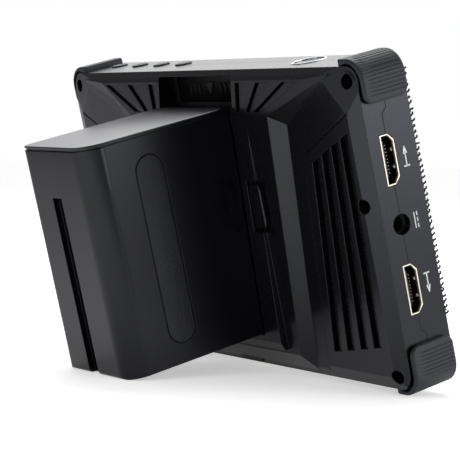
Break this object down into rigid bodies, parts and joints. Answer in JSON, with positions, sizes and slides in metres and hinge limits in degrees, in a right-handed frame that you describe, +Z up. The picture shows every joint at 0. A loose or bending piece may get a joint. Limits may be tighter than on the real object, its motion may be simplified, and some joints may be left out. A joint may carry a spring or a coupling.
{
  "type": "camera field monitor",
  "caption": "Flat camera monitor leaning back on a thick clip-on battery, with vents, corner bumpers, side sockets, top buttons and hook tape on its front.",
  "frame": {"origin": "centre of the bounding box in plan, on the surface the monitor stands on", "axes": "+X to the right seen from the screen, +Y to the back where the battery is, +Z up"},
  "size_m": [0.1656, 0.0932, 0.1007],
  "materials": {
    "housing_plastic": "moulded black plastic with a fine grain",
    "cover_plastic": "moulded black plastic with a fine grain",
    "bumper_rubber": "soft grey-black rubber with fine ribs",
    "hook_fabric": "black woven hook tape",
    "screen_glass": "smooth glass, dark when the screen is off",
    "panel_black": "dark screen panel",
    "diffuser_white": "white light guide",
    "sheet_steel": "plain sheet steel",
    "board_green": "green solder mask",
    "chip_black": "moulded chip package",
    "heat_aluminium": "bead-blasted aluminium",
    "ribbon_orange": "amber flexible circuit",
    "socket_steel": "plated steel with a warm tint",
    "tongue_blue": "dark blue contact carrier",
    "jack_black": "black moulded plastic",
    "jack_pin_chrome": "bright plated pin",
    "button_grey": "grey moulded button",
    "power_black": "dark moulded button",
    "ring_chrome": "bright plated ring",
    "tab_plastic": "moulded black plastic",
    "slider_plastic": "moulded black plastic",
    "plate_plastic": "moulded black plastic",
    "contact_brass": "gold-plated contact",
    "insert_brass": "plain turned brass",
    "screw_black": "blackened steel screw",
    "screw_steel": "plain steel screw",
    "battery_plastic": "moulded dark grey plastic with a satin sheen",
    "grip_plastic": "darker moulded inlay",
    "cell_wrap": "blue shrink sleeve"
  },
  "bodies": {
    "monitor": {"front_bezel": "housing_plastic", "rear_cover": "cover_plastic", "bumper_top_left": "bumper_rubber", "bumper_top_right": "bumper_rubber", "bumper_bottom_left": "bumper_rubber", "bumper_bottom_right": "bumper_rubber", "hook_tape_left": "hook_fabric", "hook_tape_right": "hook_fabric", "cover_glass": "screen_glass", "lcd_panel": "panel_black", "backlight": "diffuser_white", "support_plate": "sheet_steel", "main_board": "board_green", "processor": "chip_black", "heat_spreader": "heat_aluminium", "screen_ribbon": "ribbon_orange", "video_out_shell": "socket_steel", "video_out_tongue": "tongue_blue", "video_in_shell": "socket_steel", "video_in_tongue": "tongue_blue", "power_jack_body": "jack_black", "power_jack_pin": "jack_pin_chrome", "button_board": "board_green", "button_switches": "sheet_steel", "power_ring": "ring_chrome", "release_spring": "sheet_steel", "battery_plate": "plate_plastic", "terminal_block": "jack_black", "terminal_blades": "contact_brass", "tripod_insert": "insert_brass", "cover_screws": "screw_black", "board_screws": "screw_steel", "plate_screws": "screw_steel"},
    "battery": {"battery_case": "battery_plastic", "battery_cover": "battery_plastic", "battery_end_cap": "battery_plastic", "battery_grip_left": "grip_plastic", "battery_grip_right": "grip_plastic", "battery_cells": "cell_wrap", "cell_straps": "sheet_steel", "protection_board": "board_green", "battery_contacts": "contact_brass"},
    "release": {"release_tab": "tab_plastic"},
    "lock": {"lock_slider": "slider_plastic", "lock_clip": "sheet_steel"},
    "menu_1": {"menu_button_1": "button_grey"},
    "menu_2": {"menu_button_2": "button_grey"},
    "menu_3": {"menu_button_3": "button_grey"},
    "menu_4": {"menu_button_4": "button_grey"},
    "power": {"power_button": "power_black"}
  },
  "joints": [
    {"name": "battery_slide", "type": "slide", "parent": "monitor", "child": "battery", "axis": [0, 0.2611, 0.9653], "range_m": [0, 0.0085]},
    {"name": "release_press", "type": "slide", "parent": "monitor", "child": "release", "axis": [0, -0.9653, 0.2611], "range_m": [0, 0.0016], "stiffness_N_per_m": 800, "springref_m": -0.001},
    {"name": "lock_slide", "type": "slide", "parent": "monitor", "child": "lock", "axis": [-1, 0, 0], "range_m": [0, 0.0024]},
    {"name": "menu_1_press", "type": "slide", "parent": "monitor", "child": "menu_1", "axis": [0, -0.2611, -0.9653], "range_m": [0, 0.0005], "stiffness_N_per_m": 1500, "springref_m": -0.0003},
    {"name": "menu_2_press", "type": "slide", "parent": "monitor", "child": "menu_2", "axis": [0, -0.2611, -0.9653], "range_m": [0, 0.0005], "stiffness_N_per_m": 1500, "springref_m": -0.0003},
    {"name": "menu_3_press", "type": "slide", "parent": "monitor", "child": "menu_3", "axis": [0, -0.2611, -0.9653], "range_m": [0, 0.0005], "stiffness_N_per_m": 1500, "springref_m": -0.0003},
    {"name": "menu_4_press", "type": "slide", "parent": "monitor", "child": "menu_4", "axis": [0, -0.2611, -0.9653], "range_m": [0, 0.0005], "stiffness_N_per_m": 1500, "springref_m": -0.0003},
    {"name": "power_press", "type": "slide", "parent": "monitor", "child": "power", "axis": [0, -0.2611, -0.9653], "range_m": [0, 0.0005], "stiffness_N_per_m": 1500, "springref_m": -0.0003}
  ]
}
